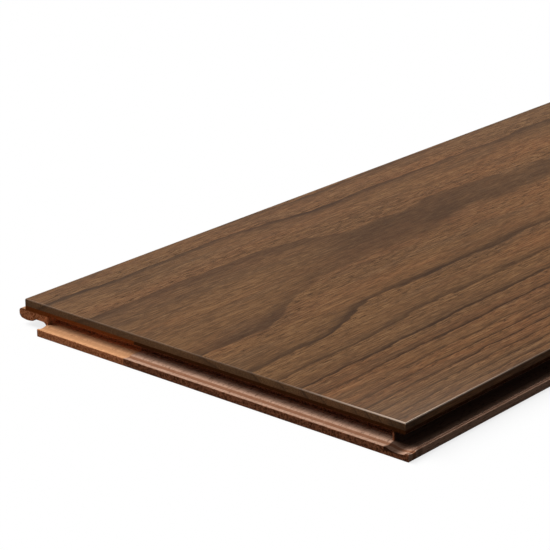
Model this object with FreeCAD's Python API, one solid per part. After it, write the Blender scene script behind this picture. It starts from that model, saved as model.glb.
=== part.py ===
import FreeCAD, Part
import math
import os

# Wide plank floorboard, 220 mm wide and 2200 mm long: a walnut face lamella on a core of two
# edge-glued staves. All four edges of the core are milled to a glueless click lock.
#
# Frame: X runs along the board, Y across it and Z up. The origin is on the underside, in the
# middle of the area that the board covers once it is laid. The near end (-X) and the right-hand
# side (-Y) have the groove and the lower lip. The far end (+X) and the left-hand side (+Y) have
# the tongue. A joint plane is the vertical plane in which the faces of two laid boards meet.

# Board, mm
cover_length = 2200.0
cover_width = 220.0
face_thickness = 3.5
core_thickness = 9.5
face_bevel = 0.5              # small bevel round the top of the face lamella
narrow_stave_width = 69.0     # from the tongue-side joint plane to the glue line of the core

# Grooves and lower lips, mm, measured outwards from the joint plane and up from the underside
groove_depth = 5.2            # how far the groove runs in behind the joint plane
groove_cover = 1.8            # core left between the groove and the face lamella
groove_back_radius = 1.3
lead_in = 0.3                 # chamfer on the mouth of the groove
lip_reach = 7.0               # how far the lower lip stands out past the joint plane
lip_chamfer = 0.4             # on the lip's upper outer edge
ridge_height = 3.5            # the lip's outer edge, and the flat floor of the end groove

# The long side's lip has a hollow floor and a steep locking face
floor_height = 2.4            # the lip's thinnest place
floor_centre = 1.0            # how far out that is
floor_radius = 14.0
lock_foot = 4.9               # where the locking face starts to rise
lock_angle = 50.0             # slope of the locking face, in degrees

# The near end's lip is flat, with a shallow hollow as its lock
hollow_start = 1.5
hollow_end = 6.3
hollow_depth = 0.5

# Tongues, mm: they follow the grooves, less these clearances
tongue_length = 4.1
tongue_play = 0.10            # over and under the tongue
lock_play = 0.10              # between the locking faces
ridge_play = 0.25             # over the neighbour's ridge
lip_play = 0.40               # past the end of the neighbour's lip
nose_top_radius = 1.5
nose_bottom_radius = 2.4
end_nose_radius = 1.8         # the end tongue is thinner, so its nose is tighter underneath
heel_chamfer = 0.5            # on the bottom edge behind the lip's room

# Corners, mm
left_stop = 14.5              # the near end's groove and lip stop this far in from the left joint plane
right_stop = 6.5              # its groove stops this far in from the right one, short of the long groove
tongue_end_gap = 0.5          # the far end's tongue stops this short of the neighbour's groove stops
relief_reach = 13.6           # how far in the underside is cut back at the near left corner
relief_length = 10.0
relief_height = 4.2
relief_radius = 2.5

margin = 3.0                  # how far the cutters run past the stock

top = core_thickness + face_thickness
groove_top = core_thickness - groove_cover
tongue_top = groove_top - tongue_play
tongue_radius = floor_radius - tongue_play
hollow_centre = (hollow_start + hollow_end) / 2
hollow_radius = ((hollow_end - hollow_start) ** 2 / 4 + hollow_depth ** 2) / (2 * hollow_depth)
lip_room = lip_reach + lip_play
room_top = ridge_height + ridge_play
half_length = cover_length / 2
half_width = cover_width / 2
glue_line = half_width - narrow_stave_width


def at(u, v):
    """A point of a cutter's section: u outwards from the joint plane, v up from the underside."""
    return FreeCAD.Vector(u, 0, v)


def on_floor(radius, u):
    """The height at u of an arc about the centre of the long lip's floor."""
    return floor_height + floor_radius - math.sqrt(radius ** 2 - (u - floor_centre) ** 2)


def lock_end(radius, foot, height):
    """How far from the joint plane a locking face that starts at foot reaches the given height."""
    return foot + (height - on_floor(radius, foot)) / math.tan(math.radians(lock_angle))


lock_back = lock_end(tongue_radius, lock_foot - lock_play, room_top)


def line(a, b):
    return Part.makeLine(a, b)


def arc(a, middle, b):
    return Part.Arc(a, middle, b).toShape()


def corner_arc(a, centre, b):
    """The round corner from a to b about centre."""
    radius = (a - centre).Length
    middle = (a + b) * 0.5 - centre
    middle.normalize()
    return arc(a, centre + middle * radius, b)


def chain(*points):
    """Straight edges from point to point."""
    return [line(a, b) for a, b in zip(points, points[1:])]


def groove_section(lip_edges):
    """What is milled off a groove edge: the air over the lower lip, and the groove behind it."""
    outer = lip_reach + margin
    back_bend = at(groove_back_radius - groove_depth, groove_top - groove_back_radius)
    back_top = at(back_bend.x, groove_top)
    back_wall = at(-groove_depth, back_bend.z)
    start = lip_edges[0].Vertexes[0].Point
    end = lip_edges[-1].Vertexes[-1].Point
    edges = chain(end, at(lip_reach, ridge_height - lip_chamfer), at(lip_reach, -margin), at(outer, -margin),
                  at(outer, top + margin), at(0, top + margin), at(0, groove_top + lead_in),
                  at(-lead_in, groove_top), back_top)
    edges.append(corner_arc(back_top, back_bend, back_wall))
    edges.append(line(back_wall, start))
    return Part.Face(Part.Wire(edges + lip_edges))


def long_lip():
    """The upper side of the long side's lip, from the back of the groove to the outer edge."""
    back = at(-groove_depth, on_floor(floor_radius, -groove_depth))
    foot = at(lock_foot, on_floor(floor_radius, lock_foot))
    ridge = at(lock_end(floor_radius, lock_foot, ridge_height), ridge_height)
    floor = arc(back, at(floor_centre, floor_height), foot)
    return [floor] + chain(foot, ridge, at(lip_reach - lip_chamfer, ridge_height))


def end_lip():
    """The upper side of the near end's lip."""
    inner = at(hollow_start, ridge_height)
    outer = at(hollow_end, ridge_height)
    hollow = arc(inner, at(hollow_centre, ridge_height - hollow_depth), outer)
    flat = line(at(-groove_depth, ridge_height), inner)
    return [flat, hollow, line(outer, at(lip_reach - lip_chamfer, ridge_height))]


def tongue_section(nose_bend, underside):
    """What is milled off a tongue edge: the air round the tongue, and the room for the neighbour's lip."""
    outer = tongue_length + margin
    tip_bend = at(tongue_length - nose_top_radius, tongue_top - nose_top_radius)
    tip = at(tip_bend.x, tongue_top)
    start = underside[0].Vertexes[0].Point
    end = underside[-1].Vertexes[-1].Point
    nose = at(tongue_length, nose_bend.z)
    edges = chain(end, at(-lip_room, end.z), at(-lip_room, heel_chamfer), at(-lip_room - heel_chamfer, 0),
                  at(-lip_room - heel_chamfer, -margin), at(outer, -margin), at(outer, top + margin),
                  at(0, top + margin), at(0, tongue_top), tip)
    edges.append(corner_arc(tip, tip_bend, at(tongue_length, tip_bend.z)))
    edges.append(line(at(tongue_length, tip_bend.z), nose))
    edges.append(corner_arc(nose, nose_bend, start))
    return Part.Face(Part.Wire(edges + underside))


def long_tongue_section():
    """The long tongue's underside follows the neighbour's lip floor, and so does its locking face."""
    bend_u = tongue_length - nose_bottom_radius
    bend = at(bend_u, on_floor(tongue_radius - nose_bottom_radius, -bend_u))
    centre = at(-floor_centre, floor_height + floor_radius)
    start = centre + (bend - centre) * (tongue_radius / (bend - centre).Length)
    low = lock_play - lock_foot
    foot = at(low, on_floor(tongue_radius, -low))
    floor = arc(start, at(-floor_centre, floor_height + tongue_play), foot)
    return tongue_section(bend, [floor, line(foot, at(-lock_back, room_top))])


def end_tongue_section():
    """The end tongue is flat underneath, with a bulge that sits in the hollow of the neighbour's lip."""
    under = ridge_height + tongue_play
    radius = hollow_radius - tongue_play
    half = math.sqrt(radius ** 2 - (hollow_radius - hollow_depth - tongue_play) ** 2)
    bend = at(tongue_length - end_nose_radius, under + end_nose_radius)
    inner = at(half - hollow_centre, under)
    outer = at(-half - hollow_centre, under)
    bulge = arc(inner, at(-hollow_centre, ridge_height - hollow_depth + tongue_play), outer)
    return tongue_section(bend, [line(at(bend.x, under), inner), bulge])


def box(x0, x1, y0, y1, z0, z1):
    return Part.makeBox(x1 - x0, y1 - y0, z1 - z0, FreeCAD.Vector(x0, y0, z0))


def side_cutter(section, turn, joint, start, end):
    """The section drawn out from start to end along an edge, turned so that it faces outwards."""
    solid = section.extrude(FreeCAD.Vector(0, end - start, 0))
    solid.translate(FreeCAD.Vector(joint, start, 0))
    solid.rotate(FreeCAD.Vector(0, 0, 0), FreeCAD.Vector(0, 0, 1), turn)
    return solid


def near_corner_relief():
    """Clears the underside at the near left corner, so that the next row's lip swings past it."""
    inner = half_width - relief_reach
    outer = half_width - lock_back
    corner = FreeCAD.Vector(0, inner + relief_radius, relief_height - relief_radius)
    low = FreeCAD.Vector(0, inner, relief_height - relief_radius)
    high = FreeCAD.Vector(0, inner + relief_radius, relief_height)
    edges = [
        line(FreeCAD.Vector(0, inner, -margin), low),
        corner_arc(low, corner, high),
        line(high, FreeCAD.Vector(0, outer, relief_height)),
        line(FreeCAD.Vector(0, outer, relief_height), FreeCAD.Vector(0, outer, -margin)),
        line(FreeCAD.Vector(0, outer, -margin), FreeCAD.Vector(0, inner, -margin)),
    ]
    start = -half_length - lip_reach - margin
    solid = Part.Face(Part.Wire(edges)).extrude(FreeCAD.Vector(-half_length + relief_length - start, 0, 0))
    solid.translate(FreeCAD.Vector(start, 0, 0))
    return solid


def milled_core():
    """The core in one piece, with all four edges milled and its corners cleared."""
    near = -half_length - lip_reach
    far = half_length + tongue_length
    right = -half_width - lip_reach
    left = half_width + tongue_length
    stock = box(near - 1, far + 1, right - 1, left + 1, 0, core_thickness)
    long_run = (near - margin, far + margin)
    lip_end = half_width - left_stop
    groove_start = right_stop - half_width
    end_groove = side_cutter(groove_section(end_lip()), 180, half_length, -lip_end, margin - right)
    cutters = [
        side_cutter(groove_section(long_lip()), -90, half_width, *long_run),
        side_cutter(long_tongue_section(), 90, half_width, -long_run[1], -long_run[0]),
        end_groove.common(box(near - margin, -half_length, right - margin, lip_end, -margin, top + margin)),
        end_groove.common(box(-half_length, 0, groove_start, lip_end, -margin, top + margin)),
        side_cutter(end_tongue_section(), 0, half_length, right - margin, left + margin),
        box(near - margin, -half_length, lip_end, left + margin, -margin, top),
        box(half_length, far + margin, right - margin, groove_start + tongue_end_gap, -margin, top),
        box(half_length, far + margin, lip_end - tongue_end_gap, left + margin, -margin, top),
        box(half_length - lip_room, far + margin, right - margin, -half_width, -margin, groove_top),
        near_corner_relief(),
    ]
    core = stock
    for cutter in cutters:
        core = core.cut(cutter)
    return core


def staves(core):
    """The core parted at its glue line: the narrow stave has the long tongue, the wide one the groove."""
    reach = cover_length
    narrow = core.common(box(-reach, reach, glue_line, reach, -margin, top))
    wide = core.common(box(-reach, reach, -reach, glue_line, -margin, top))
    return narrow, wide


def face_lamella():
    """The walnut face, as large as the covered area, with its top edges bevelled."""
    slab = box(-half_length, half_length, -half_width, half_width, core_thickness, top)
    upper = [e for e in slab.Edges if all(abs(v.Z - top) < 1e-6 for v in e.Vertexes)]
    return slab.makeChamfer(face_bevel, upper)


def one_solid(shape):
    """The shape's only solid, with faces that lie in one plane merged."""
    solids = shape.removeSplitter().Solids
    if len(solids) != 1:
        raise ValueError("expected one solid and got %d" % len(solids))
    return solids[0]


def main():
    narrow, wide = staves(milled_core())
    pieces = {
        "face_lamella": face_lamella(),
        "core_stave_narrow": narrow,
        "core_stave_wide": wide,
    }
    os.makedirs("parts", exist_ok=True)
    for name, shape in pieces.items():
        solid = one_solid(shape)
        solid.exportStep("parts/%s.step" % name)
        print(name, "valid", solid.isValid(), "volume %.0f mm3" % solid.Volume, solid.BoundBox)


main()
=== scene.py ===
# %% [markdown]
# # A wide plank floorboard
#
# The real object is an engineered floorboard: a sawn walnut face glued on a core of two staves, whose
# edges are milled so that boards click together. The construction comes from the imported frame. This
# file adds what the eye needs: edges milled with round tools, walnut with its growth rings, raw core
# wood that is pale along the fibres and dark on its end grain, and a plain studio.

# %% Load the frame
import math

import bmesh
import bpy
from mathutils import Matrix, Vector


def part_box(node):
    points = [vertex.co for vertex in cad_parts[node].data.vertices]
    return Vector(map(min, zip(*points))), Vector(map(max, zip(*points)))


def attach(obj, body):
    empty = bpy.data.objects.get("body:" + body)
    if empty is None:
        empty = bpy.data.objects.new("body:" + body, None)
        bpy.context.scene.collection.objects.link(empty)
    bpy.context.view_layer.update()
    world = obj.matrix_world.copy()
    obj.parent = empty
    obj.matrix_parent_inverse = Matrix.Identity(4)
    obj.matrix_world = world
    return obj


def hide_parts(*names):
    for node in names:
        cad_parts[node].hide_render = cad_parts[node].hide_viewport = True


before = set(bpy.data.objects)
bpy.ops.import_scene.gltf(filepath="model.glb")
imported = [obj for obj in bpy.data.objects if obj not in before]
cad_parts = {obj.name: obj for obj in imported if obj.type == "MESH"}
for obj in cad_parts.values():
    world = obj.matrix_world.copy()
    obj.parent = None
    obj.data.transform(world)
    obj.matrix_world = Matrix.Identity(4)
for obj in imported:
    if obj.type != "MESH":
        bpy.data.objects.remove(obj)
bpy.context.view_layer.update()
print("frame nodes:", sorted(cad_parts))

# %% [markdown]
# ## Sizes
#
# The big sizes are read from the frame, so the board can never drift away from its construction. The
# small ones belong to the milling tools and are too fine to read from a box, so they are written here
# in millimetres and turned into metres once.

# %% Sizes of the board and of its milled edges
MM = 0.001

face_low, face_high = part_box("face_lamella")
wide_low, wide_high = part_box("core_stave_wide")
_, narrow_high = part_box("core_stave_narrow")

near, far = face_low.x, face_high.x
right, left = face_low.y, face_high.y
core_top, top = face_low.z, face_high.z
glue_line = wide_high.y
lip_reach = right - wide_low.y
tongue_length = narrow_high.y - left

# The walnut's bevel, then the groove and the lip under it
face_bevel = 0.5 * MM
wood_over_groove = 1.8 * MM
groove_depth = 5.2 * MM
groove_top = core_top - wood_over_groove
groove_back_radius = 1.3 * MM
lead_in = 0.3 * MM
lip_round = 0.4 * MM
ridge_height = 3.5 * MM

# The long lip's hollow floor and its steep locking face
floor_height = 2.4 * MM
floor_centre = 1.0 * MM
floor_radius = 14.0 * MM
lock_foot = 4.9 * MM
lock_angle = math.radians(50)

# The shallow hollow in the end's lip
hollow_start = 1.5 * MM
hollow_end = 6.3 * MM
hollow_depth = 0.5 * MM

# The room that a tongue has in its groove, and the rounding of its nose
play = 0.10 * MM
ridge_play = 0.25 * MM
lip_play = 0.40 * MM
nose_top_radius = 1.5 * MM
nose_bottom_radius = 2.4 * MM
end_nose_radius = 1.8 * MM
heel_chamfer = 0.5 * MM

# Where grooves, lips and tongues stop short of the corners
left_stop = 14.5 * MM
right_stop = 6.5 * MM
tongue_end_gap = 0.5 * MM
relief_reach = 13.6 * MM
relief_length = 10.0 * MM
relief_height = 4.2 * MM
relief_radius = 2.5 * MM

# How far a cutter stands out where it only clears the wood
margin = 3.0 * MM
print("board %.1f x %.1f x %.1f mm" % ((far - near) / MM, (left - right) / MM, top / MM))

# %% [markdown]
# ## Camera
#
# The photograph looks down on the near right corner of the board from its near end. The corner is
# pinned to its place in the picture, and the view's two angles, its distance and the lens come from
# the directions in which the board's edges run. A long lens from nearly a metre away gives the gentle
# perspective of a product picture.

# %% Camera
view_yaw = math.radians(40.14)
view_pitch = math.radians(20.17)
corner_distance = 0.9165
corner_right = 0.0527
corner_down = 0.0630
picture_width = 550
focal_pixels = 2269

camera_data = bpy.data.cameras.new("camera")
camera = bpy.data.objects.new("camera", camera_data)
bpy.context.scene.collection.objects.link(camera)
bpy.context.scene.camera = camera
camera_data.sensor_width = 36
camera_data.lens = camera_data.sensor_width * focal_pixels / picture_width

forward = Vector((math.cos(view_pitch) * math.cos(view_yaw), math.cos(view_pitch) * math.sin(view_yaw),
                  -math.sin(view_pitch)))
rightward = Vector((math.sin(view_yaw), -math.cos(view_yaw), 0))
upward = rightward.cross(forward)
corner = Vector((near, right, core_top))
camera.matrix_world = Matrix.Translation(
    corner - forward * corner_distance - rightward * corner_right + upward * corner_down
) @ Matrix((rightward, upward, -forward)).transposed().to_4x4()
print("camera at", [round(c, 3) for c in camera.matrix_world.translation])

# %% [markdown]
# ## Light
#
# The light in the photograph is soft. It comes from above and from the board's left, and hardly from
# its near end: the top is evenly lit, the near end is darker, and the right-hand side is in deep shade.
# A very wide sun lamp does this evenly over the whole length, which a lamp that stands close by would
# not. The world, which is set up with the floor, fills the shade a little.

# %% Light
key_towards = Vector((-0.16, 0.80, 0.92)).normalized()
key_share = 0.90
fill_share = 1 - key_share
key_softness = math.radians(44)

key_data = bpy.data.lights.new("key", "SUN")
key_data.energy = math.pi * key_share / key_towards.z
key_data.angle = key_softness
key = bpy.data.objects.new("key", key_data)
key.rotation_euler = key_towards.to_track_quat("Z", "Y").to_euler()
bpy.context.scene.collection.objects.link(key)
key_height = math.degrees(math.asin(key_towards.z))
print("key light %.0f degrees up, strength %.2f" % (key_height, key_data.energy))

# %% [markdown]
# ## A small language for materials
#
# Procedural wood is mostly arithmetic. Wiring dozens of Math nodes by hand is hard to read, so a
# `Wire` stands for one socket, and adding or multiplying wires makes the nodes. Every other node comes
# from `Wiring.node`, which takes its type, its settings and what goes into its sockets. The world has
# a node tree as the materials have, so it is wired in the same way.

# %% Wires
class Wire:
    """One output socket, on which Python's operators make Math nodes."""

    def __init__(self, wiring, socket):
        self.wiring = wiring
        self.socket = socket

    def math(self, operation, *others, clamp=False):
        values = dict(enumerate((self,) + others))
        return self.wiring.node("ShaderNodeMath", {"operation": operation, "use_clamp": clamp}, values)

    def __add__(self, other):
        return self.math("ADD", other)

    __radd__ = __add__

    def __mul__(self, other):
        return self.math("MULTIPLY", other)

    __rmul__ = __mul__

    def __sub__(self, other):
        return self.math("SUBTRACT", other)

    def __rsub__(self, other):
        return (self * -1) + other

    def __truediv__(self, other):
        return self.math("DIVIDE", other)

    def __pow__(self, other):
        return self.math("POWER", other)

    def rise(self, start, end):
        """0 below start, 1 above end, and a smooth rise between them. It falls if end is below start."""
        if start > end:
            return 1 - self.rise(end, start)
        return self.wiring.node("ShaderNodeMapRange", {"interpolation_type": "SMOOTHSTEP"},
                                {"Value": self, "From Min": start, "From Max": end})

    def band(self, start, full, fading, end):
        """1 from full to fading, and 0 before start and after end."""
        return self.rise(start, full) * self.rise(end, fading)


class Wiring:
    """The node tree of a material or of the world."""

    def __init__(self, owner):
        owner.use_nodes = True
        self.tree = owner.node_tree
        self.tree.nodes.clear()

    def node(self, kind, settings, values, output=0):
        """Makes a node: its settings first, then a value or a wire for each of its sockets."""
        node = self.tree.nodes.new(kind)
        for name, setting in settings.items():
            setattr(node, name, setting)
        for name, value in values.items():
            if isinstance(value, Wire):
                self.tree.links.new(value.socket, node.inputs[name])
            else:
                node.inputs[name].default_value = value
        return Wire(self, node.outputs[output]) if node.outputs else None

# %% [markdown]
# ## Wood finishes
#
# All the wood here is coloured in the way of a painter who glazes: a ground colour first, and over it
# thin colours, each let through by its own pattern. The swatches are written as they look on a screen,
# because that is how one reads them off a picture, and `seen` turns them into the linear colours that
# Blender works in. Every pattern is noise drawn out along the fibres, with its lengths in millimetres.

# %% Finishes
def seen(red, green, blue):
    """The linear colour of a swatch given as it looks on a screen, 0 to 255."""
    swatch = [c / 255 for c in (red, green, blue)]
    return [c / 12.92 if c <= 0.04045 else ((c + 0.055) / 1.055) ** 2.4 for c in swatch] + [1.0]


class Finish(Wiring):
    """A wood's material, with the coordinates that its patterns are drawn on."""

    def __init__(self, name):
        self.name = name
        self.material = bpy.data.materials.new(name)
        super().__init__(self.material)
        self.place = self.node("ShaderNodeTexCoord", {}, {}, "Object")
        self.x, self.y, self.z = self.parts(self.place)
        facing = self.node("ShaderNodeNewGeometry", {}, {}, "Normal")
        self.facing_x, self.facing_y, self.facing_z = self.parts(facing)

    def parts(self, vector):
        """The three numbers of a vector."""
        split = self.node("ShaderNodeSeparateXYZ", {}, {0: vector})
        return [Wire(self, socket) for socket in split.socket.node.outputs]

    def noise(self, lengths, shift=(0, 0, 0), detail=2.0, roughness=0.5):
        """Noise of about 0.25 to 0.75 with features this long along X, Y and Z, in millimetres."""
        scale = [1 / (length * MM) for length in lengths]
        placed = self.node("ShaderNodeMapping", {},
                           {"Vector": self.place, "Location": shift, "Scale": scale})
        return self.node("ShaderNodeTexNoise", {}, {"Vector": placed, "Scale": 1.0, "Detail": detail,
                                                    "Roughness": roughness})

    def waves(self, lengths, shift=(0, 0, 0), detail=2.0):
        """The same noise, up and down from zero."""
        return self.noise(lengths, shift, detail) - 0.5

    def blend(self, share, first, second):
        """Mixes two colours: none of the second at share 0, all of it at 1."""
        return self.node("ShaderNodeMix", {"data_type": "RGBA"}, {0: share, 6: first, 7: second}, 2)

    def glazed(self, ground, *glazes):
        """Lays glazes over a ground colour, one after another. Each is a share and a swatch."""
        colour = ground
        for share, swatch in glazes:
            colour = self.blend(share, colour, seen(*swatch))
        return colour

    def finished(self, colour, roughness, relief, relief_depth, specular):
        """Joins it all in the surface shader."""
        bump = self.node("ShaderNodeBump", {},
                         {"Height": relief, "Distance": relief_depth, "Strength": 1.0})
        surface = self.node("ShaderNodeBsdfPrincipled", {},
                            {"Base Color": colour, "Roughness": roughness, "Normal": bump,
                             "Specular IOR Level": specular})
        self.node("ShaderNodeOutputMaterial", {}, {"Surface": surface})
        print(self.name, "finish:", len(self.tree.nodes), "nodes")
        return self.material


print("a mid grey, 128 of 255, has the linear value %.3f" % seen(128, 128, 128)[0])

# %% [markdown]
# ## Drawing an outline with bmesh
#
# The edges of the core are milled with shaped cutters that run along it, so every shape here is a flat
# outline drawn out along a line. One could list the outline's points, but a pen is closer to how a
# draughtsman works: `extrude_vert_indiv` pulls a straight line out of the last point, and `spin` swings
# an arc about a centre. The pen measures outwards from a joint plane, the vertical plane in which the
# faces of two laid boards meet, so that one description serves both edges and both ends.

# %% Pen
same_point = 0.0001 * MM


class Pen:
    """Draws an outline in the XZ plane: u outwards from the joint plane, v up from the underside."""

    def __init__(self, joint=0, side=1):
        self.mesh = bmesh.new()
        self.tip = None
        self.work_at(joint, side)

    def work_at(self, joint, side):
        """Measures from here on from the joint plane at x = joint, outwards along X where side is 1."""
        self.joint = joint
        self.side = side

    def place(self, u, v):
        return Vector((self.joint + self.side * u, 0, v))

    def line(self, u, v):
        """A straight line to this point. The first call only puts the pen down."""
        if self.tip is None:
            self.tip = self.mesh.verts.new(self.place(u, v))
            return
        pulled = bmesh.ops.extrude_vert_indiv(self.mesh, verts=[self.tip])
        self.tip = pulled["verts"][0]
        self.tip.co = self.place(u, v)

    def arc(self, u, v, centre_u, centre_v, steps=8):
        """An arc to this point about a centre, the shorter way round."""
        centre = self.place(centre_u, centre_v)
        start, end = self.tip.co - centre, self.place(u, v) - centre
        turn = math.atan2(start.z, start.x) - math.atan2(end.z, end.x)
        turn = (turn + math.pi) % (2 * math.pi) - math.pi
        swung = bmesh.ops.spin(self.mesh, geom=[self.tip], cent=centre, axis=(0, 1, 0), angle=turn,
                               steps=steps, use_duplicate=False)
        self.tip = next(part for part in swung["geom_last"] if isinstance(part, bmesh.types.BMVert))

    def drawn_out(self, start, end):
        """Closes the outline, fills it and draws it out along Y from start to end."""
        mesh = self.mesh
        closing = bmesh.ops.extrude_vert_indiv(mesh, verts=[self.tip])
        mesh.verts.ensure_lookup_table()
        closing["verts"][0].co = mesh.verts[0].co
        bmesh.ops.remove_doubles(mesh, verts=mesh.verts, dist=same_point)
        bmesh.ops.contextual_create(mesh, geom=mesh.edges[:])
        bmesh.ops.translate(mesh, vec=(0, start, 0), verts=mesh.verts)
        drawn = bmesh.ops.extrude_face_region(mesh, geom=mesh.faces[:])
        moved = [part for part in drawn["geom"] if isinstance(part, bmesh.types.BMVert)]
        bmesh.ops.translate(mesh, vec=(0, end - start, 0), verts=moved)
        bmesh.ops.recalc_face_normals(mesh, faces=mesh.faces)
        return mesh


trial_radius = 10 * MM
trial = Pen()
trial.line(trial_radius, 0)
trial.arc(0, trial_radius, 0, 0, 16)
trial.line(0, 0)
quarter_disc = trial.drawn_out(0, MM)
print("a quarter disc drawn with the pen has %.1f square mm, and a true one %.1f"
      % (quarter_disc.calc_volume() / MM ** 3, math.pi * (trial_radius / MM) ** 2 / 4))
quarter_disc.free()

# %% [markdown]
# ## The grooves and their lips
#
# The near end and the right-hand side have a groove over a lower lip. The long side's lip is hollow
# with a steep locking face, because the next board is swung into it. The end's lip is flat with a
# shallow hollow, because the end drops in from above. Each line is drawn where a cutter's edge would
# run, so the groove has a round back and a small lead-in at its mouth, as a worn cutter leaves.

# %% Groove profiles
hollow_centre = (hollow_start + hollow_end) / 2
hollow_radius = ((hollow_end - hollow_start) ** 2 / 4 + hollow_depth ** 2) / (2 * hollow_depth)
hollow_middle = ridge_height - hollow_depth + hollow_radius
floor_middle = floor_height + floor_radius


def on_floor(radius, u):
    """The height at u of an arc about the centre of the long lip's floor."""
    return floor_middle - math.sqrt(radius ** 2 - (u - floor_centre) ** 2)


def lock_end(radius, foot, height):
    """How far out a locking face that starts at foot reaches the given height."""
    return foot + (height - on_floor(radius, foot)) / math.tan(lock_angle)


def long_lip(pen):
    """The upper side of the long side's lip, inwards from its rounded outer edge."""
    pen.line(lock_end(floor_radius, lock_foot, ridge_height), ridge_height)
    pen.line(lock_foot, on_floor(floor_radius, lock_foot))
    pen.arc(-groove_depth, on_floor(floor_radius, -groove_depth), floor_centre, floor_middle, 14)


def end_lip(pen):
    """The upper side of the near end's lip, inwards from its rounded outer edge."""
    pen.line(hollow_end, ridge_height)
    pen.arc(hollow_start, ridge_height, hollow_centre, hollow_middle, 10)


def lip_edge(pen, lip):
    """Round the lip's outer edge and over its upper side."""
    pen.line(lip_reach, ridge_height - lip_round)
    pen.arc(lip_reach - lip_round, ridge_height, lip_reach - lip_round, ridge_height - lip_round, 4)
    lip(pen)


def groove_back(pen):
    """Up the back of the groove and out to its mouth."""
    bend_u, bend_v = groove_back_radius - groove_depth, groove_top - groove_back_radius
    pen.line(-groove_depth, bend_v)
    pen.arc(bend_u, groove_top, bend_u, bend_v, 6)
    pen.line(-lead_in, groove_top)
    pen.line(0, groove_top + lead_in)


print("grooves %.1f mm deep and %.1f mm high, over lips that reach %.1f mm"
      % (groove_depth / MM, (groove_top - ridge_height) / MM, lip_reach / MM))

# %% [markdown]
# ## The tongues
#
# The other two edges have the tongue that goes into the groove. It could be drawn on its own, but then
# it might not fit, so its underside repeats the lines of the neighbour's lip with a tenth of a
# millimetre of play, as the real cutters do.

# %% Tongue profiles
tongue_top = groove_top - play
tongue_radius = floor_radius - play
lip_room = lip_reach + lip_play
room_top = ridge_height + ridge_play


def long_underside(pen):
    """The long tongue's nose and underside, which follow the neighbour's lip floor and locking face."""
    bend_u = tongue_length - nose_bottom_radius
    bend_v = on_floor(tongue_radius - nose_bottom_radius, -bend_u)
    reach = tongue_radius / (tongue_radius - nose_bottom_radius)
    middle_u = -floor_centre
    start_u = middle_u + (bend_u - middle_u) * reach
    start_v = floor_middle + (bend_v - floor_middle) * reach
    foot = lock_foot - play
    pen.line(tongue_length, bend_v)
    pen.arc(start_u, start_v, bend_u, bend_v, 8)
    pen.arc(-foot, on_floor(tongue_radius, foot), middle_u, floor_middle, 12)
    pen.line(-lock_end(tongue_radius, foot, room_top), room_top)
    return room_top


def end_underside(pen):
    """The end tongue's nose and flat underside, with the bulge that sits in the neighbour's hollow."""
    under = ridge_height + play
    bend_u, bend_v = tongue_length - end_nose_radius, under + end_nose_radius
    half = math.sqrt((hollow_radius - play) ** 2 - (hollow_middle - under) ** 2)
    pen.line(tongue_length, bend_v)
    pen.arc(bend_u, under, bend_u, bend_v, 8)
    pen.line(half - hollow_centre, under)
    pen.arc(-half - hollow_centre, under, -hollow_centre, hollow_middle, 10)
    return under


def tongue_edge(pen, underside):
    """From the joint plane, round the tongue and back to the room for the neighbour's lip."""
    bend = tongue_length - nose_top_radius
    pen.line(0, tongue_top)
    pen.line(bend, tongue_top)
    pen.arc(tongue_length, tongue_top - nose_top_radius, bend, tongue_top - nose_top_radius, 6)
    roof = underside(pen)
    pen.line(-lip_room, roof)
    pen.line(-lip_room, heel_chamfer)


print("tongues reach %.1f mm, with %.1f mm left in the groove"
      % (tongue_length / MM, (groove_depth - tongue_length) / MM))

# %% [markdown]
# ## Moulding the staves
#
# Each stave starts as a moulding: its cross-section, with one long edge milled, drawn out over the
# whole length of the board. A block could be carved instead, but a moulder's section never changes
# along the board, and an outline that is drawn out once can't either.

# %% Mouldings
scene = bpy.context.scene


def as_object(name, mesh):
    """Puts a finished bmesh into the scene."""
    data = bpy.data.meshes.new(name)
    mesh.to_mesh(data)
    mesh.free()
    piece = bpy.data.objects.new(name, data)
    scene.collection.objects.link(piece)
    return piece


def drawn_along(pen, start, end):
    """Draws an outline out along the board, from x = start to x = end."""
    mesh = pen.drawn_out(-end, -start)
    quarter_turn = Matrix.Rotation(math.pi / 2, 3, "Z")
    bmesh.ops.rotate(mesh, cent=(0, 0, 0), matrix=quarter_turn, verts=mesh.verts)
    return mesh


def wide_moulding():
    """The wide stave, from the long groove's lip to the glue line."""
    pen = Pen(right, -1)
    pen.line(lip_reach, 0)
    lip_edge(pen, long_lip)
    groove_back(pen)
    pen.line(0, core_top)
    pen.work_at(glue_line, 1)
    pen.line(0, core_top)
    pen.line(0, 0)
    return drawn_along(pen, near - lip_reach, far + tongue_length)


def narrow_moulding():
    """The narrow stave, from the glue line to the long tongue."""
    pen = Pen(glue_line, 1)
    pen.line(0, 0)
    pen.line(0, core_top)
    pen.work_at(left, 1)
    pen.line(0, core_top)
    tongue_edge(pen, long_underside)
    pen.line(-lip_room - heel_chamfer, 0)
    return drawn_along(pen, near - lip_reach, far + tongue_length)


wide_stave = as_object("wide_stave", wide_moulding())
narrow_stave = as_object("narrow_stave", narrow_moulding())
print("mouldings of", len(wide_stave.data.vertices), "and", len(narrow_stave.data.vertices), "points")

# %% [markdown]
# ## Cutters for the ends
#
# The ends are milled across the board, over both staves at once. A cutter here is the air that the
# real tool leaves behind: the same kind of outline as before, but closed round the outside and drawn
# out across the board. Where it only has to clear the wood it stands out by a small margin, so that no
# two faces lie in one plane.

# %% End cutters
def end_lip_cutter(start, end):
    """Takes away the air over the near end's lip."""
    pen = Pen(near, -1)
    pen.line(lip_reach + margin, -margin)
    pen.line(lip_reach, -margin)
    lip_edge(pen, end_lip)
    pen.line(0, ridge_height)
    pen.line(0, core_top + margin)
    pen.line(lip_reach + margin, core_top + margin)
    return pen.drawn_out(start, end)


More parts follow.
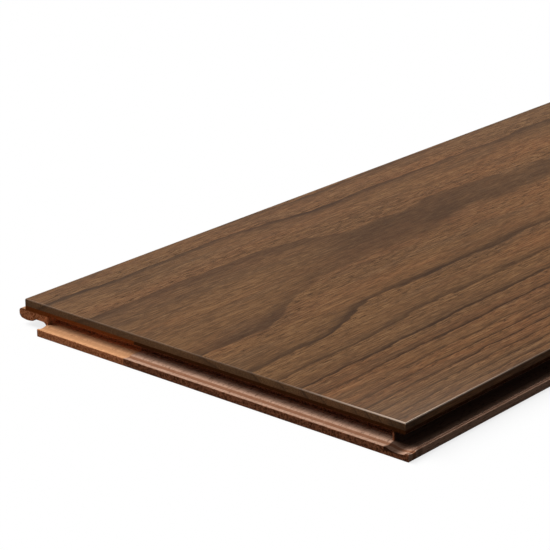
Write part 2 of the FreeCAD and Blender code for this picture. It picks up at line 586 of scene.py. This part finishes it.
def end_groove_cutter(start, end):
    """Takes away the groove behind the near end's lip."""
    pen = Pen(near, -1)
    pen.line(margin, groove_top + lead_in)
    pen.line(margin, ridge_height)
    pen.line(-groove_depth, ridge_height)
    groove_back(pen)
    return pen.drawn_out(start, end)


def end_tongue_cutter(start, end):
    """Takes away the air round the far end's tongue and the room for the neighbour's lip."""
    pen = Pen(far, 1)
    pen.line(tongue_length + margin, core_top + margin)
    pen.line(0, core_top + margin)
    tongue_edge(pen, end_underside)
    pen.line(-lip_room - heel_chamfer, 0)
    pen.line(-lip_room - heel_chamfer, -margin)
    pen.line(tongue_length + margin, -margin)
    return pen.drawn_out(start, end)


lip_end, groove_start = left - left_stop, right + right_stop
right_of, left_of = right - lip_reach - margin, left + tongue_length + margin
end_cutters = [
    end_lip_cutter(right_of, lip_end),
    end_groove_cutter(groove_start, lip_end),
    end_tongue_cutter(right_of, left_of),
]
print("the near end's groove is cut over %.1f mm" % ((lip_end - groove_start) / MM))

# %% [markdown]
# ## Cutters for the corners
#
# At the corners the lips and tongues of two neighbours would meet, so the real board is cleared there
# by short extra cuts. Plain blocks do for most of them. The underside at the near left corner is cut
# back with a round inner corner, as a router leaves it, so that one is drawn with the pen.

# %% Corner cutters
def relief_cutter():
    """Clears the underside at the near left corner, with a round inner corner."""
    inner, outer = left - relief_reach, left - lock_end(tongue_radius, lock_foot - play, room_top)
    bend = inner + relief_radius
    pen = Pen()
    pen.line(inner, -margin)
    pen.line(inner, relief_height - relief_radius)
    pen.arc(bend, relief_height, bend, relief_height - relief_radius, 8)
    pen.line(outer, relief_height)
    pen.line(outer, -margin)
    return drawn_along(pen, near - lip_reach - margin, near + relief_length)


def block(x0, x1, y0, y1, z0, z1):
    """A square block."""
    mesh = bmesh.new()
    bmesh.ops.create_cube(mesh, size=1)
    bmesh.ops.scale(mesh, vec=(x1 - x0, y1 - y0, z1 - z0), verts=mesh.verts)
    bmesh.ops.translate(mesh, vec=((x0 + x1) / 2, (y0 + y1) / 2, (z0 + z1) / 2), verts=mesh.verts)
    return mesh


low, high = -margin, core_top + margin
before, beyond = near - lip_reach - margin, far + tongue_length + margin
corner_cutters = [
    block(before, near, lip_end, left_of, low, high),
    block(far, beyond, right_of, groove_start + tongue_end_gap, low, high),
    block(far, beyond, lip_end - tongue_end_gap, left_of, low, high),
    block(far - lip_room, beyond, right_of, right, low, groove_top),
    relief_cutter(),
]
print(len(end_cutters), "cutters for the ends,", len(corner_cutters), "for the corners")

# %% [markdown]
# ## Milling the core
#
# The cutters are taken away with exact Booleans, which keep the flat faces flat. The real core is
# glued up first and milled as one, so both staves meet the same cutters. The shading is then smooth
# along the arcs and sharp where two milled faces meet.

# %% Mill the staves
welded_within = 0.001 * MM
cutters = [as_object("cutter_%d" % number, mesh)
           for number, mesh in enumerate(end_cutters + corner_cutters)]


def mill(stave):
    """Takes all the cutters from a stave's moulding."""
    for cutter in cutters:
        cut = stave.modifiers.new(cutter.name, "BOOLEAN")
        cut.operation = "DIFFERENCE"
        cut.solver = "EXACT"
        cut.object = cutter
    depsgraph = bpy.context.evaluated_depsgraph_get()
    data = bpy.data.meshes.new_from_object(stave.evaluated_get(depsgraph))
    stave.modifiers.clear()
    stave.data = data


def shade(piece, sharp_over):
    """Smooth along the arcs, sharp where two faces meet at more than this angle."""
    mesh = bmesh.new()
    mesh.from_mesh(piece.data)
    bmesh.ops.remove_doubles(mesh, verts=mesh.verts, dist=welded_within)
    for face in mesh.faces:
        face.smooth = True
    for edge in mesh.edges:
        edge.smooth = len(edge.link_faces) == 2 and edge.calc_face_angle() < sharp_over
    open_edges = sum(not edge.is_manifold for edge in mesh.edges)
    mesh.to_mesh(piece.data)
    mesh.free()
    print(piece.name, len(piece.data.polygons), "faces,", open_edges, "open edges")


for stave in (wide_stave, narrow_stave):
    mill(stave)
    shade(stave, math.radians(24))
for cutter in cutters:
    bpy.data.objects.remove(cutter)

# %% [markdown]
# ## The walnut face
#
# The face is sawn from walnut boards and pressed on the core. Its top edges are eased with a small
# bevel, which catches the light as a thin pale line. A cube is enough to start from, and
# `bmesh.ops.bevel` takes only the edges that lie in the top.

# %% Walnut face
mesh = block(near, far, right, left, core_top, top)
upper = [edge for edge in mesh.edges if all(vert.co.z > top - face_bevel / 2 for vert in edge.verts)]
bmesh.ops.bevel(mesh, geom=upper, offset=face_bevel, offset_type="OFFSET", segments=3, profile=0.5,
                affect="EDGES", material=-1, clamp_overlap=True)
walnut_face = as_object("walnut_face", mesh)
shade(walnut_face, math.radians(50))

# %% [markdown]
# ## The walnut's growth rings
#
# A flat-sawn board is a slice through a trunk, so its figure is worked out as in the tree: the growth
# rings are cylinders about a pith that runs along the board, some way under its face, and the lines on
# the face are where the rings meet it. They crowd together towards the groove side and spread out
# above the pith. The rings swell where the trunk was thicker, which bends the lines into waves. An
# image of wood would repeat along two metres of board, and these rings do not. Near the camera the
# swelling is set so that the main lines run as in the photograph, and further off it is left to chance.

# %% Growth rings, all in millimetres
pith_from_left = 75
pith_depth = 120
first_ring = 125
rings_per_mm = 0.0883
rings_crowding = 0.00127


def trunk_swell(wood, from_end, from_left):
    """How far the trunk's own shape pushes its rings out."""
    lag = from_left.rise(95, 45) * 80
    bulge_height = 2.6 + 3.2 * from_left.rise(60, 112)
    bulge = (from_end - lag).rise(40, 112) * from_left.rise(182, 120) * bulge_height
    left_to_chance = from_end.rise(260, 460)
    swell = bulge + wood.waves((260, 70, 70), (3.1, 0.4, 0.2), 1.0) * (3.0 + 17.0 * left_to_chance)
    return swell + wood.waves((60, 16, 16), (0.7, 0.2, 0.9)) * 3.0


def growth_rings(wood, from_end, from_left):
    """The number of the ring at a place, how far through it that is, and how steep the ring lies."""
    depth = wood.z / MM - (top / MM - pith_depth)
    from_pith = ((from_left - pith_from_left) ** 2 + depth ** 2) ** 0.5
    slant = (from_left - pith_from_left).math("ABSOLUTE") / from_pith
    wobble = wood.waves((26, 6.0, 6.0)) * 2.6 + wood.waves((9, 1.6, 1.6), (0.1, 0.6, 0.3)) * 1.6
    radius = from_pith + trunk_swell(wood, from_end, from_left) + wobble * (slant + 0.15)
    beyond_first = radius - first_ring
    rings = beyond_first * rings_per_mm + beyond_first * beyond_first * rings_crowding
    number = rings.math("FLOOR")
    return number, rings - number, slant


def ring_marks(wood, number, share, slant):
    """How dark the ring is at a place, and where the line that ends it lies."""
    chance = wood.node("ShaderNodeTexWhiteNoise", {"noise_dimensions": "1D"}, {"W": number}, "Value")
    steep = slant.rise(0.04, 0.20)
    ring_end = share.rise(1.0, 0.97) * steep + share.rise(1.0, 0.92) * (1 - steep)
    late_wood = share.rise(0.30, 0.95) * ring_end
    line = share.rise(0.78, 0.93) * ring_end
    strength = 0.55 + 0.45 * chance + wood.waves((90, 30, 30), (1.3, 0.8, 0.1)) * 0.9
    return (late_wood * 0.44 + line * 0.50) * strength, line


print("the pith lies %d mm from the left edge and %d mm under the face" % (pith_from_left, pith_depth))

# %% [markdown]
# ## How a surface was cut
#
# The same wood looks different on each of its sides, so the finishes ask which way a surface faces.
# Separate materials for each side would do it too, but a mask needs no sorting of faces, and it also
# works on the round edges between them.

# %% Masks by the way a surface faces
wall_start, wall_full = 0.6, 0.3


def cut_across(wood):
    """1 where a surface is cut across the fibres, 0 where it runs along them."""
    return wood.facing_x.math("ABSOLUTE").rise(0.45, 0.8)


def upright(wood):
    """1 on walls, 0 on level surfaces."""
    return wood.facing_z.math("ABSOLUTE").rise(wall_start, wall_full)


def on_bevel(wood):
    """1 on the small bevel round the walnut's top edges."""
    tilted = wood.facing_z.rise(0.05, 0.30) * wood.facing_z.rise(0.999, 0.93)
    return tilted * wood.z.rise(top - 1.5 * face_bevel, top - face_bevel)


print("a surface begins to be a wall at %.0f degrees and is one at %.0f"
      % (math.degrees(math.acos(wall_start)), math.degrees(math.acos(wall_full))))

# %% [markdown]
# ## The walnut's colour
#
# Each ring darkens slowly and ends in a line, which is sharp where the face cuts the ring steeply and
# softer near the pith, where the face lies almost along it. Fine streaks, short open pores and slow
# changes from reddish to greyish brown go on top, all of them drawn out along the fibres. The tongue
# side is a little darker. The bevel is painted pale as a highlight, most of all at the near right corner
# and on the groove side, and the sides of the face get painted shade there. A flat pale line all round
# would be simpler, but it would look drawn on.

# %% Walnut finish
# Painted highlight on the bevel, strongest at the near right corner and fading with distance from it
off_corner_along, off_corner_across = 0.65, 1.15
highlight_reach = 85 * MM
bevel_highlight_share = 0.08
corner_highlight_share, groove_side_highlight_share = 0.66, 0.26
# Painted shade on the sides of the face: on the groove side, and more near the near right corner
groove_side_shade_share, corner_shade_share = 0.22, 0.45
corner_shade_reach, corner_shade_full = 16 * MM, 2 * MM


def walnut(name):
    """Oiled walnut, from its ground colour to the painted highlight and shade on its edges."""
    wood = Finish(name)
    from_end = wood.x / MM - near / MM
    from_left = left / MM - wood.y / MM
    number, share, slant = growth_rings(wood, from_end, from_left)
    ring_dark, line = ring_marks(wood, number, share, slant)

    streaks = wood.noise((120, 1.1, 1.1), (0, 0, 0), 4.0, 0.6)
    grain = wood.noise((8, 0.55, 0.55), (0.6, 0.2, 0.7), 3.0, 0.6)
    fibres = wood.noise((16, 0.35, 0.35), (0.3, 0.1, 0.6), 3.0, 0.65)
    pore_field = wood.noise((6, 0.32, 0.32), (0.9, 0.5, 0.2), 1.0)
    pores = pore_field.rise(0.58, 0.66) * (0.45 + 0.55 * share.rise(0.55, 0.1))
    clouds = wood.noise((170, 38, 38), (0.2, 0.9, 0.4))
    hue = wood.noise((240, 24, 24), (0.5, 0.3, 0.8))
    patches = wood.noise((60, 8, 8), (0.2, 0.4, 0.1))

    def patch(end, side, length, width):
        """1 in the middle of a soft oval patch, 0 outside it."""
        return (((from_end - end) / length) ** 2 + ((from_left - side) / width) ** 2).rise(1.0, 0.0)

    off_corner = (wood.x - near) * off_corner_along + (wood.y - right) * off_corner_across
    groove_side = wood.facing_y.rise(-0.05, -0.30)
    # painted shade on the face's sides
    painted_side_shade = groove_side_shade_share * groove_side + corner_shade_share * off_corner.rise(corner_shade_reach, corner_shade_full)
    # painted highlight on the bevel, fading away from the near right corner
    painted_highlight = off_corner.rise(highlight_reach, 0.0) * (corner_highlight_share + groove_side_highlight_share * groove_side)

    colour = wood.glazed(
        seen(124, 89, 58),
        (hue.rise(0.36, 0.64), (141, 94, 60)),
        (patches.rise(0.50, 0.66) * 0.55, (139, 101, 66)),
        (patches.rise(0.48, 0.34) * 0.45, (99, 76, 56)),
        (clouds.rise(0.42, 0.70) * 0.45, (96, 70, 50)),
        (from_left.rise(95, 25) * 0.28, (94, 69, 48)),
        (patch(190, 66, 120, 44) * 0.45, (88, 64, 45)),
        (patch(48, 106, 42, 12) * 0.45, (88, 64, 45)),
        (streaks.rise(0.42, 0.66) * 0.50, (92, 64, 43)),
        (streaks.rise(0.46, 0.28) * 0.50, (144, 108, 76)),
        (grain.rise(0.48, 0.62) * 0.62, (80, 56, 37)),
        (grain.rise(0.48, 0.34) * 0.54, (150, 114, 78)),
        (fibres.rise(0.50, 0.66) * 0.55, (80, 56, 38)),
        (ring_dark.math("MULTIPLY", 1.0, clamp=True), (56, 39, 27)),
        (pores * 0.85, (44, 29, 19)),
        (cut_across(wood) * 0.35, (94, 68, 48)),
        # painted shade on the sides of the face
        (upright(wood) * painted_side_shade, (20, 15, 11)),
        # the bevel's pale colour is a painted highlight
        (on_bevel(wood) * (bevel_highlight_share + painted_highlight), (238, 213, 192)))

    roughness = 0.56 + 0.10 * streaks + 0.10 * pores
    relief = (fibres * 0.35 + streaks * 0.25) - pores * 0.6 - line * 0.25
    return wood.finished(colour, roughness, relief, relief_depth=0.12 * MM, specular=0.04)


walnut_face.data.materials.append(walnut("walnut_face"))

# %% [markdown]
# ## Core wood
#
# The core is raw wood, and its colour depends on how a surface was cut. Along the fibres it is a pale
# tan with fine streaks and small dark tears. Across them one looks into the open ends of the fibres,
# which swallow the light, so it is far darker and full of specks. The narrow faces above the grooves
# and tongues are darker, partly stained so that no pale line shows between laid boards, and partly
# painted shade.
#
# Painted shade follows the milled shapes. A band along the hollow of the lip at the near end is painted
# darker. Where the end groove opens, painted shade darkens a strip of the lip in its mouth, which is
# wider on the narrow stave. The long groove and the inner part of its lip are painted dark as shade, the
# middle of the lip's ridge top is painted darker so that its two edges stay pale, and walls along the
# fibres are painted a little darker. One finish does all of this by looking at the way a surface faces
# and at its place, so the marks follow the milling. The two staves come from different boards, so it is
# made twice.

# %% Core finishes, with all places in millimetres
# painted shade along the hollow of the near end's lip
hollow_shade_band = (1.8, 2.5, 3.8, 4.6)
# painted shade on the lip inside the end groove's mouth
end_groove_shade_inside = (-3.6, -1.2)
# painted shade in the long groove and on the inner part of its lip
long_groove_shade_across = (-4.6, 0.2, 5.4, 6.0)
long_groove_shade_up = (1.5, 2.3, groove_top / MM - 0.3, groove_top / MM + 0.3)
# a dark band at the top of the walls: partly stained wood, partly painted shade
stain_shade_start, stain_shade_full = groove_top / MM - 0.9, groove_top / MM - 0.1
# painted shade on the middle of the long lip's ridge top, which leaves its two edges pale
ridge_middle = 6.0
ridge_half_shaded, ridge_half_end = 0.25, 0.55
# the colour of the painted shade in the long groove
long_groove_shade_colour = (34, 16, 9)


def core_wood(name, shift, pale, streak, hollow_shade_colour, dark, speck, stain_and_shade, brown, end_groove_shade_share, end_groove_shade_outside):
    """Raw sawn wood: pale and streak along the fibres, dark and speck across them, stained and painted
    shade at joints.
    """
    wood = Finish(name)
    fibres = wood.noise((26, 0.45, 0.45), shift, 4.0, 0.65)
    bands = wood.noise((400, 5.0, 5.0), shift)
    specks = wood.noise((3.0, 0.85, 0.85), shift, 3.0, 0.6)
    growth = wood.noise((200, 9.0, 1.6), shift)
    dots = wood.noise((1.8, 0.95, 0.95), shift, 2.0, 0.6)
    tears = wood.noise((3.6, 0.55, 0.55), shift, 2.0, 0.6)

    outwards = (near - wood.x) / MM
    inwards = (wood.y - right) / MM
    height = wood.z / MM
    # masks for painted shade: the end groove's mouth, the long groove and the middle of the ridge top
    end_groove_shade = outwards.band(*end_groove_shade_inside, *end_groove_shade_outside)
    long_groove_shade = inwards.band(*long_groove_shade_across) * height.band(*long_groove_shade_up)
    ridge_shade = (inwards + ridge_middle).math("ABSOLUTE").rise(ridge_half_end, ridge_half_shaded)
    walls = upright(wood)
    end_grain = cut_across(wood)

    along_fibres = wood.glazed(
        seen(*pale),
        (fibres.rise(0.42, 0.66) * 0.45, streak),
        (bands.rise(0.45, 0.65) * 0.25, streak),
        (tears.rise(0.57, 0.63) * 0.60, speck),
        # painted shade along the hollow of the end lip
        (outwards.band(*hollow_shade_band) * (0.55 + 0.85 * specks), hollow_shade_colour),
        # painted shade inside the end groove's mouth
        (end_groove_shade * end_groove_shade_share, brown),
        # painted shade on the ridge top, in the colour of the specks
        (ridge_shade * 0.72, speck),
        # painted shade: walls along the fibres a little darker than level faces
        (walls * 0.12, dark))
    across_fibres = wood.glazed(
        seen(*dark),
        (specks.rise(0.47, 0.58) * 0.75, speck),
        (dots.rise(0.55, 0.61) * 0.80, stain_and_shade),
        (growth.rise(0.45, 0.62) * 0.35, speck))
    colour = wood.glazed(
        wood.blend(end_grain, along_fibres, across_fibres),
        # dark band at the top of the walls, partly stained and partly painted shade
        (walls * height.rise(stain_shade_start, stain_shade_full) * (0.80 + 0.35 * specks), stain_and_shade),
        # painted shade in the long groove
        (long_groove_shade * 0.85, long_groove_shade_colour))

    roughness = 0.62 + 0.2 * fibres
    relief = fibres * (1 - end_grain) + specks * end_grain
    return wood.finished(colour, roughness, relief, relief_depth=0.15 * MM, specular=0.0)


# Each stave's hollow and groove-mouth colours are painted shade.
wide_stave.data.materials.append(core_wood(
    "core_wood_dark", shift=(0.4, 0.7, 0.2), pale=(210, 170, 146), streak=(150, 108, 84),
    hollow_shade_colour=(150, 104, 78), dark=(150, 94, 66), speck=(84, 49, 33), stain_and_shade=(64, 34, 13),
    brown=(64, 34, 13), end_groove_shade_share=0.48, end_groove_shade_outside=(-0.6, 2.3)))
narrow_stave.data.materials.append(core_wood(
    "core_wood_light", shift=(0.9, 0.1, 0.6), pale=(240, 182, 134), streak=(182, 126, 84),
    hollow_shade_colour=(202, 148, 106), dark=(200, 128, 88), speck=(148, 88, 54), stain_and_shade=(116, 58, 23),
    brown=(104, 72, 56), end_groove_shade_share=0.60, end_groove_shade_outside=(-0.2, 4.0)))

# %% [markdown]
# ## Floor and background
#
# The board lies on a floor that looks as white as the paper round the photograph. Light Path tells the
# floor's material which ray is looking: the camera sees white paper with the board's own soft shadow,
# and the light that comes back up to the board's edges is dim, as it is over a dark bench. The world is
# wired in the same way, white where it is looked at and a weak fill for everything else. Reflections
# and what shows through glass count as looking.

# %% Floor and world
floor_reach = 30.0
paper_glow = 0.80
white = (1, 1, 1, 1)


def looked_at(wiring):
    """1 for rays from the camera, also by way of a mirror or glass, and 0 for the light's own ways."""
    seen_straight, mirrored, through_glass = [
        wiring.node("ShaderNodeLightPath", {}, {}, ray)
        for ray in ("Is Camera Ray", "Is Glossy Ray", "Is Transmission Ray")]
    return seen_straight.math("MAXIMUM", mirrored).math("MAXIMUM", through_glass)


mesh = bmesh.new()
bmesh.ops.create_grid(mesh, x_segments=1, y_segments=1, size=floor_reach)
floor = as_object("floor", mesh)
paper_material = bpy.data.materials.new("paper")
paper = Wiring(paper_material)
bench = paper.node("ShaderNodeBsdfDiffuse", {}, {"Color": seen(90, 88, 86)})
shadowed = paper.node("ShaderNodeBsdfDiffuse", {}, {"Color": white})
glowing = paper.node("ShaderNodeEmission", {}, {"Color": white, "Strength": 1.0})
sheet = paper.node("ShaderNodeMixShader", {}, {0: paper_glow, 1: shadowed, 2: glowing})
shown_floor = paper.node("ShaderNodeMixShader", {}, {0: looked_at(paper), 1: bench, 2: sheet})
paper.node("ShaderNodeOutputMaterial", {}, {"Surface": shown_floor})
floor.data.materials.append(paper_material)

world = bpy.data.worlds.new("studio")
scene.world = world
air = Wiring(world)
brightness = fill_share + key_share * looked_at(air)
sky = air.node("ShaderNodeBackground", {}, {"Color": white, "Strength": brightness})
air.node("ShaderNodeOutputWorld", {}, {"Surface": sky})
print("floor %.0f m wide, fill light of strength %.2f" % (2 * floor_reach, fill_share))

# %% [markdown]
# ## Joining the pieces
#
# Each piece rides on the board's only body, and the frame's node that it refines is hidden.

# %% Join the pieces to the frame
for piece, node, slot in ((walnut_face, "face_lamella", "walnut_face"),
                          (wide_stave, "core_stave_wide", "core_wood_dark"),
                          (narrow_stave, "core_stave_narrow", "core_wood_light")):
    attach(piece, "root")
    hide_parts(node)

scene.view_settings.view_transform = "Standard"
